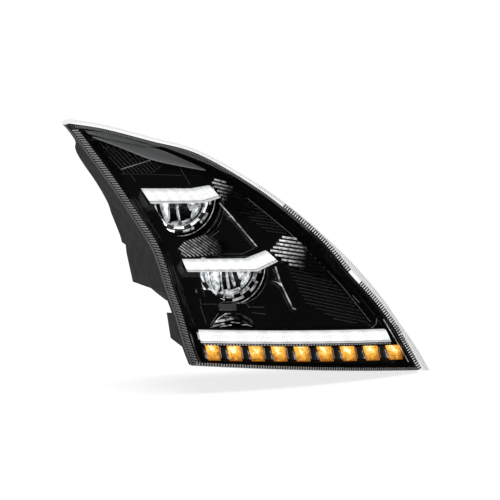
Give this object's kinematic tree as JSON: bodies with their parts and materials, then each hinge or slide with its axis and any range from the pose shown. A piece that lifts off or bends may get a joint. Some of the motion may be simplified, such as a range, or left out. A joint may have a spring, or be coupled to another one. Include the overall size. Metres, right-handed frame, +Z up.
{
  "type": "car headlight assembly",
  "caption": "Wedge-shaped left-hand vehicle headlamp with clear wrap-over lens, LED projectors, light bars and a segmented amber turn signal.",
  "frame": {"origin": "centre of the flat rear mounting pad's rearward face", "axes": "+Y rearward, out of the mounting pad, away from the lit side; +X outboard, towards the lamp's swept side; +Z up"},
  "size_m": [0.568, 0.2771, 0.3915],
  "materials": {
    "satin_black_plastic": "satin moulded black plastic",
    "gloss_black_plastic": "polished black plastic",
    "grey_plastic": "semi-gloss grey paint on plastic",
    "clear_polycarbonate": "clear, hard-coated and polished",
    "projector_glass": "clear polished optic",
    "chrome": "vacuum-metallised mirror",
    "white_diffuser": "milky light guide, lit white",
    "amber_diffuser": "lit amber light guide",
    "aluminium": "raw die-cast",
    "zinc_steel": "zinc plated",
    "black_rubber": "matte",
    "circuit_board": "white solder mask"
  },
  "bodies": {
    "lamp_body": {"housing": "satin_black_plastic", "outer_lens": "clear_polycarbonate", "lens_seal": "black_rubber", "inner_bezel": "gloss_black_plastic", "upper_tunnel": "gloss_black_plastic", "lower_tunnel": "gloss_black_plastic", "upper_blade_trim": "grey_plastic", "upper_rib_panel": "gloss_black_plastic", "accent_strip_upper": "chrome", "accent_strip_lower": "chrome", "center_flute_shell": "chrome", "side_flute_upper": "chrome", "side_flute_lower": "chrome", "bowl_bracket": "grey_plastic", "auxiliary_bowl": "chrome", "drl_bar_upper": "white_diffuser", "drl_bar_lower": "white_diffuser", "drl_bar_main": "white_diffuser", "drl_board_upper": "circuit_board", "drl_board_lower": "circuit_board", "drl_board_main": "circuit_board", "turn_lens_strip": "amber_diffuser", "turn_board": "circuit_board", "turn_tray": "gloss_black_plastic", "pivot_block_inboard": "satin_black_plastic", "pivot_post_outboard": "satin_black_plastic", "aim_adjuster_body": "satin_black_plastic", "rear_mount_pad": "satin_black_plastic", "mount_boss_top": "satin_black_plastic", "mount_boss_inboard": "satin_black_plastic", "mount_boss_outboard": "satin_black_plastic", "mount_stud_top": "zinc_steel", "mount_stud_inboard": "zinc_steel", "mount_stud_outboard": "zinc_steel", "driver_module": "aluminium", "connector_socket": "satin_black_plastic", "breather_vent_upper": "black_rubber", "breather_vent_lower": "black_rubber"},
    "carrier": {"carrier_frame": "satin_black_plastic", "lower_module_barrel": "satin_black_plastic", "aim_ball_socket": "grey_plastic", "upper_projector_lens": "projector_glass", "upper_projector_ring": "chrome", "upper_projector_shroud": "gloss_black_plastic", "upper_projector_reflector": "chrome", "upper_led_board": "circuit_board", "upper_heat_sink": "aluminium", "lower_projector_lens": "projector_glass", "lower_projector_ring": "chrome", "lower_projector_shroud": "gloss_black_plastic", "lower_projector_reflector": "chrome", "lower_led_board": "circuit_board", "lower_heat_sink": "aluminium"},
    "aim_stud": {"aim_ball_stud": "zinc_steel"},
    "aim_screw": {"aim_screw_knob": "zinc_steel"},
    "upper_cap": {"upper_access_cap": "satin_black_plastic", "upper_cap_seal": "black_rubber"},
    "lower_cap": {"lower_access_cap": "satin_black_plastic", "lower_cap_seal": "black_rubber"}
  },
  "joints": [
    {"name": "vertical_aim", "type": "hinge", "parent": "lamp_body", "child": "carrier", "pos_m": [0, -0.086, 0.092], "axis": [1, 0, 0], "range_deg": [-3, 3]},
    {"name": "aim_stud_slide", "type": "slide", "parent": "lamp_body", "child": "aim_stud", "axis": [0, 1, 0], "range_m": [-0.005, 0.005]},
    {"name": "aim_screw_turn", "type": "hinge", "parent": "lamp_body", "child": "aim_screw", "pos_m": [-0.05, -0.01, 0.002], "axis": [0, 1, 0], "range_deg": [-855, 855]},
    {"name": "upper_cap_pull", "type": "slide", "parent": "lamp_body", "child": "upper_cap", "axis": [0, 1, 0], "range_m": [0, 0.045]},
    {"name": "lower_cap_pull", "type": "slide", "parent": "lamp_body", "child": "lower_cap", "axis": [0, 1, 0], "range_m": [0, 0.045]}
  ],
  "couplings": [
    {"joint": "aim_stud_slide", "follows": "vertical_aim", "m_per_rad": 0.09},
    {"joint": "aim_screw_turn", "follows": "vertical_aim", "ratio": 282.74}
  ]
}
